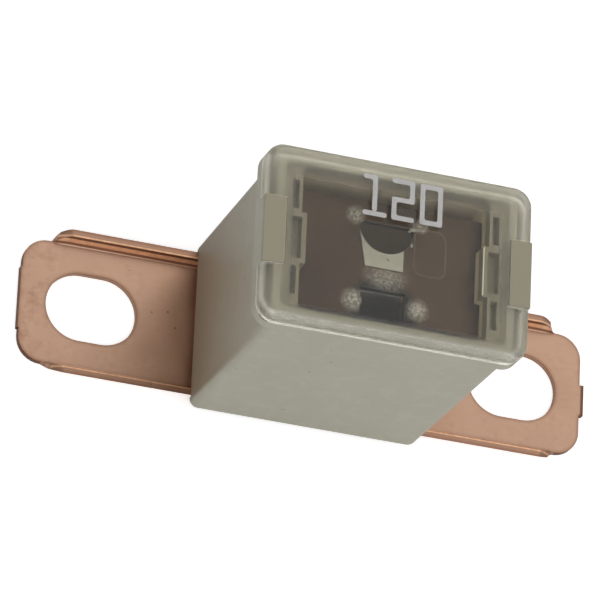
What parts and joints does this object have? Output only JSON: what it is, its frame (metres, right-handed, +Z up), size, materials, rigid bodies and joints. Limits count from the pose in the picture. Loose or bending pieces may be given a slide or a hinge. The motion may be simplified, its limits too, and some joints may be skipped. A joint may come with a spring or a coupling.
{
  "type": "bolt-in fuse link",
  "caption": "Rectangular moulded fuse housing with a clear cover, and a stamped copper strip that ends in two slotted bolt-down terminals with turned-up edges.",
  "frame": {"origin": "on the centre axis of the housing, midway between the two terminal slots, in the plane of the terminals' upper faces", "axes": "+X along the two terminals, +Y across them, +Z up out of the clear cover; the terminals' undersides lie at z = -0.6 mm"},
  "size_m": [0.0543, 0.0166, 0.0248],
  "materials": {
    "housing_plastic": "satin moulded",
    "clear_plastic": "clear, slightly tinted",
    "copper": "bare rolled copper, satin",
    "tin": "dull tin"
  },
  "bodies": {
    "root": {"housing": "housing_plastic", "clear_cover": "clear_plastic", "fuse_element": "copper", "tin_overlay": "tin"}
  },
  "joints": []
}
